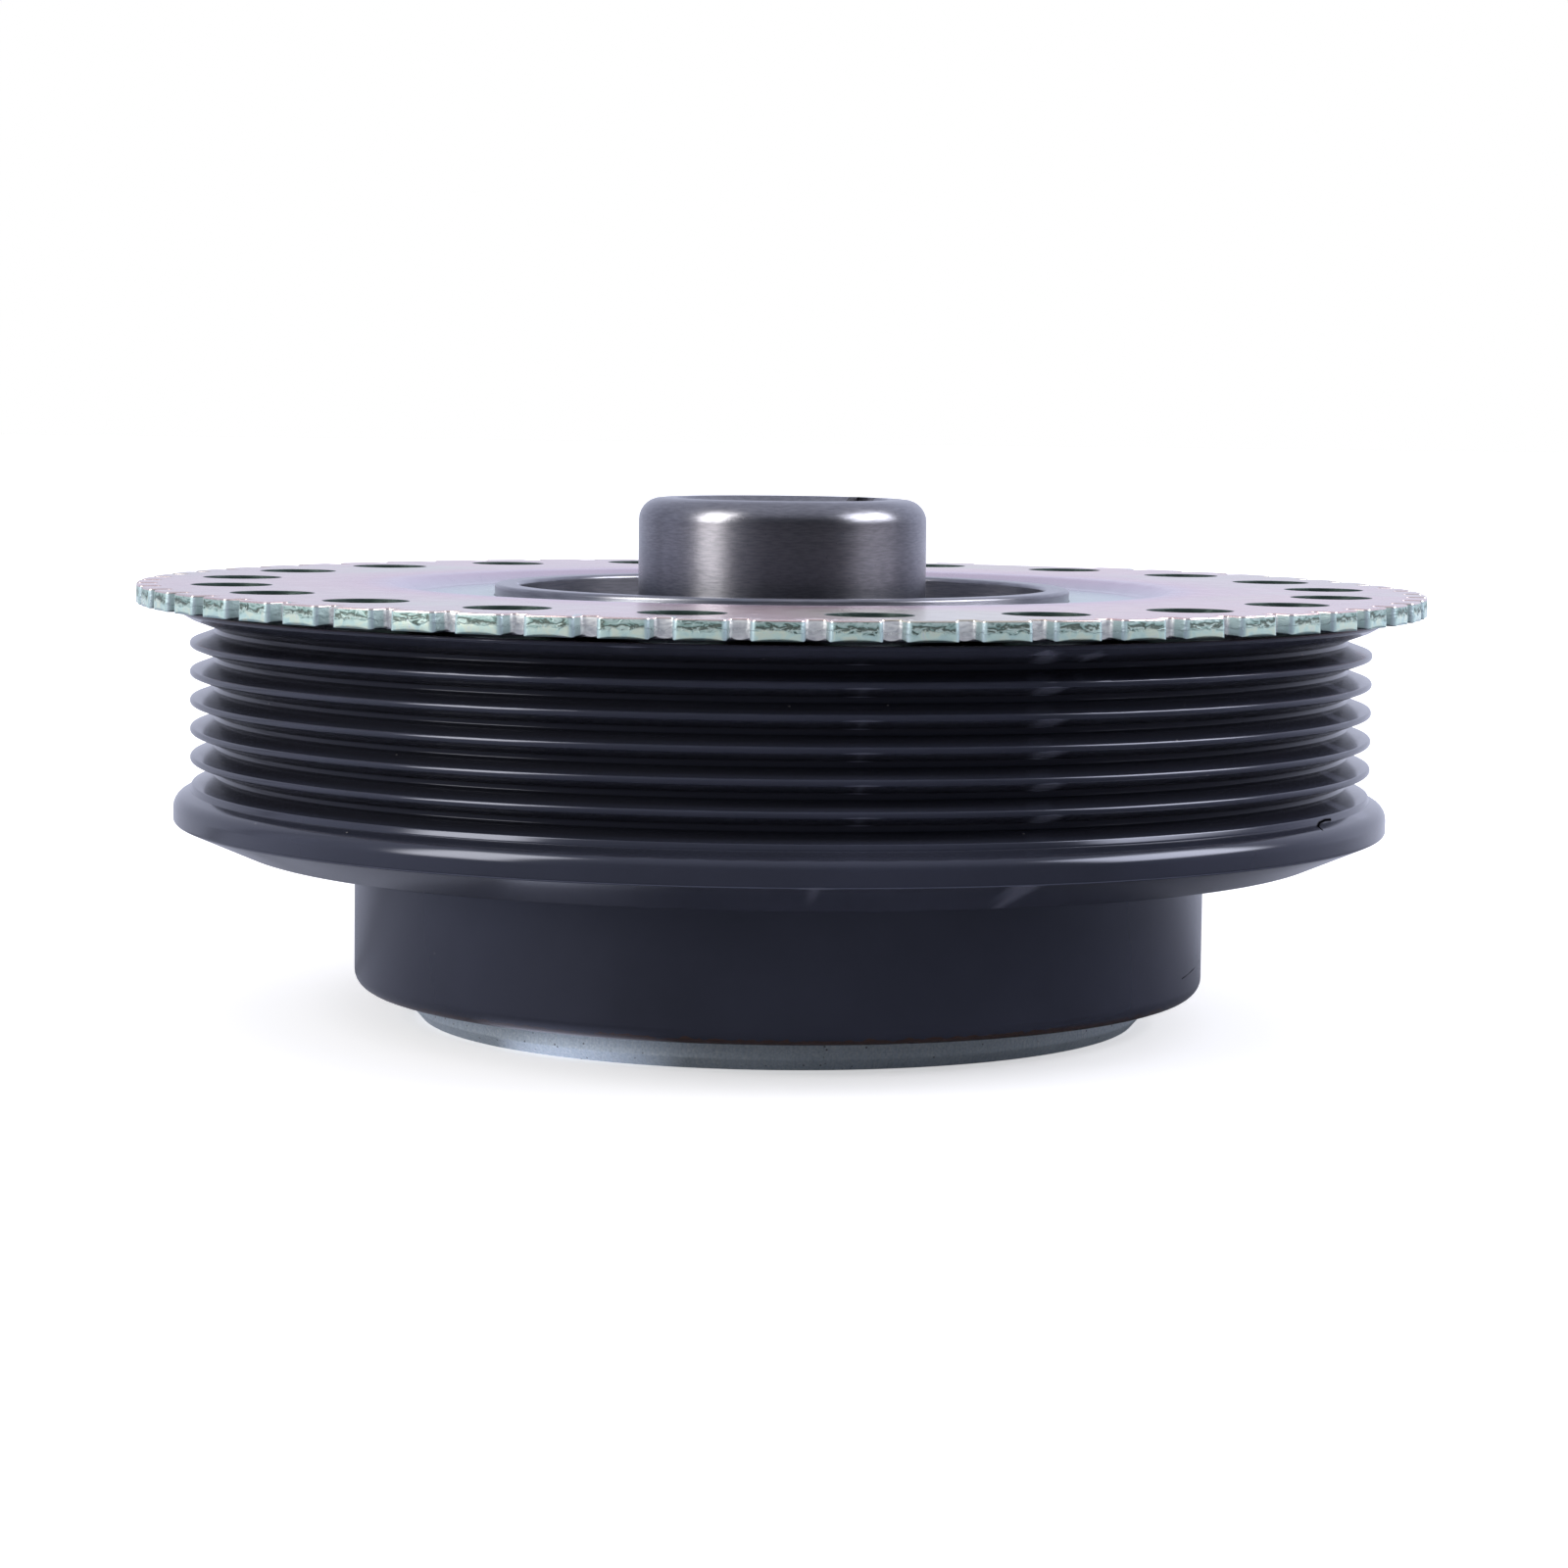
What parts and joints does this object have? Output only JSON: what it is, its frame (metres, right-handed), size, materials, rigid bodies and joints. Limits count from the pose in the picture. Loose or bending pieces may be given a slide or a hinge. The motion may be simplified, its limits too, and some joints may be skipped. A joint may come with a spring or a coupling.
{
  "type": "crankshaft pulley",
  "caption": "Crankshaft damper pulley: multi-rib belt track with flanges and skirt, rubber-mounted on a hub with a seal journal, under a toothed, pierced trigger plate.",
  "frame": {"origin": "on the shaft axis, in the plane of the hub's front rim, on which the pulley rests", "axes": "+Z along the shaft axis towards the engine side, where the seal journal and trigger plate are; +X to the right and +Y away in the reference view"},
  "size_m": [0.1618, 0.1618, 0.0657],
  "materials": {
    "turned_hub": "bare turned iron, satin, with fine turning marks",
    "rubber": "moulded, matt",
    "black_coat": "thin black coating, semi-gloss over turned iron",
    "plated_sheet": "zinc plated and chromated, iridescent pink, lavender and green"
  },
  "bodies": {
    "root": {"hub": "turned_hub", "damper_rubber": "rubber", "pulley_ring": "black_coat", "trigger_plate": "plated_sheet"}
  },
  "joints": []
}
